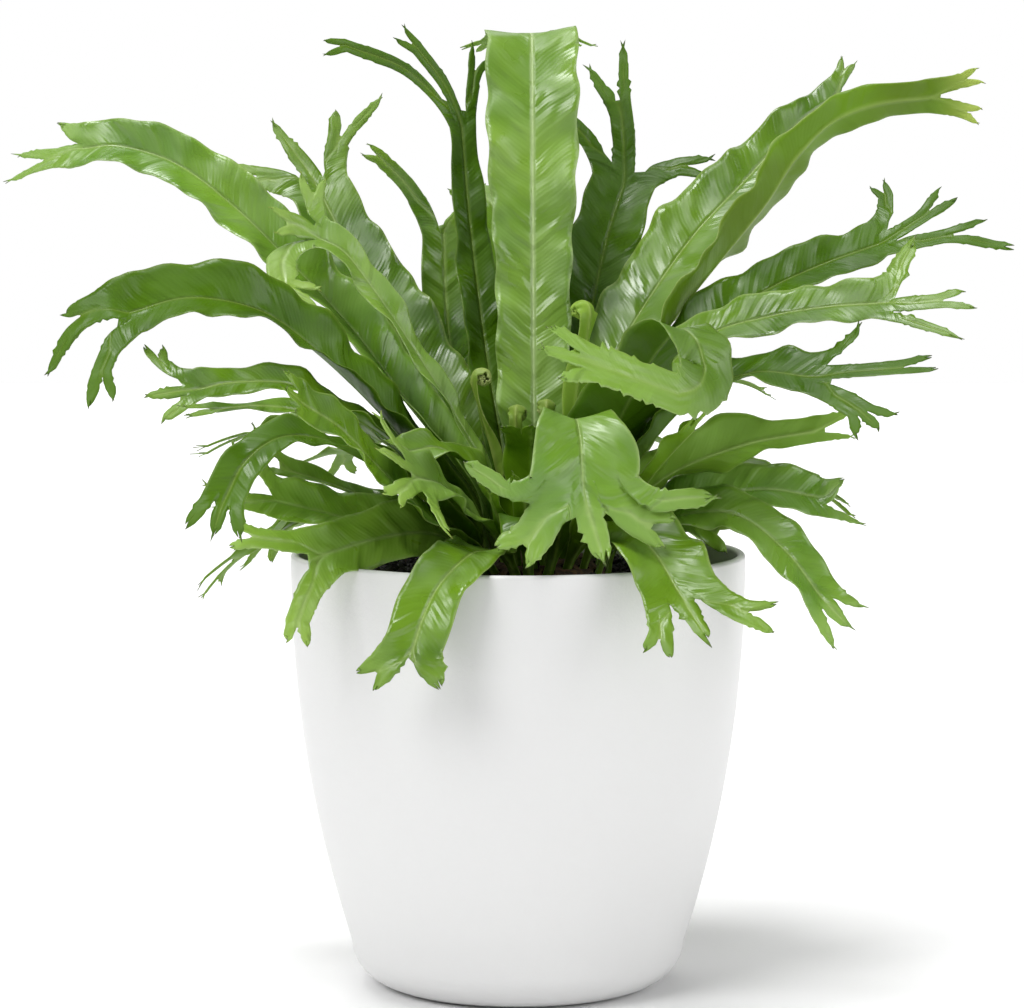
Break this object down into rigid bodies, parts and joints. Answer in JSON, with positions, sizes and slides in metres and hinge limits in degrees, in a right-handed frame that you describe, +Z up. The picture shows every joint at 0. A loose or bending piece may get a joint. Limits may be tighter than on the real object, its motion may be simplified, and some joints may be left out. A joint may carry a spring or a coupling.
{
  "type": "potted fern",
  "caption": "Potted bird's nest fern with a rosette of strap fronds whose tips fork into crests, in a plain round tapered pot filled with soil.",
  "frame": {"origin": "centre of the pot's flat base, on the surface it stands on", "axes": "+Z up, -Y towards the picture's viewer, +X to the viewer's right"},
  "size_m": [0.3682, 0.2505, 0.3506],
  "materials": {
    "pot": "smooth satin off-white",
    "soil": "dark crumbly potting mix of peat and bark",
    "crown": "rough fibrous rootstock",
    "frond": "glossy green blade with a pale midrib",
    "frond_young": "satin yellow-green young blade"
  },
  "bodies": {
    "root": {"pot": "pot", "soil": "soil", "crown": "crown", "frond_01": "frond", "frond_02": "frond", "frond_03": "frond", "frond_04": "frond", "frond_05": "frond", "frond_06": "frond", "frond_07": "frond", "frond_08": "frond", "frond_09": "frond", "frond_10": "frond", "frond_11": "frond", "frond_12": "frond", "frond_13": "frond", "frond_14": "frond", "frond_15": "frond", "frond_16": "frond", "frond_17": "frond_young", "frond_18": "frond", "frond_19": "frond", "frond_20": "frond", "frond_21": "frond", "frond_22": "frond", "frond_23": "frond", "frond_24": "frond", "frond_25": "frond_young", "frond_26": "frond", "frond_27": "frond", "frond_28": "frond", "frond_29": "frond", "frond_30": "frond", "frond_31": "frond", "frond_32": "frond", "frond_33": "frond", "frond_34": "frond", "frond_35": "frond", "frond_36": "frond", "frond_37": "frond", "frond_38": "frond", "frond_39": "frond", "frond_40": "frond", "frond_41": "frond", "frond_42": "frond", "frond_43": "frond", "frond_44": "frond", "frond_45": "frond", "frond_46": "frond", "frond_47": "frond", "frond_48": "frond", "crozier_01": "frond_young", "crozier_02": "frond_young", "crozier_03": "frond_young", "crozier_04": "frond_young"}
  },
  "joints": []
}
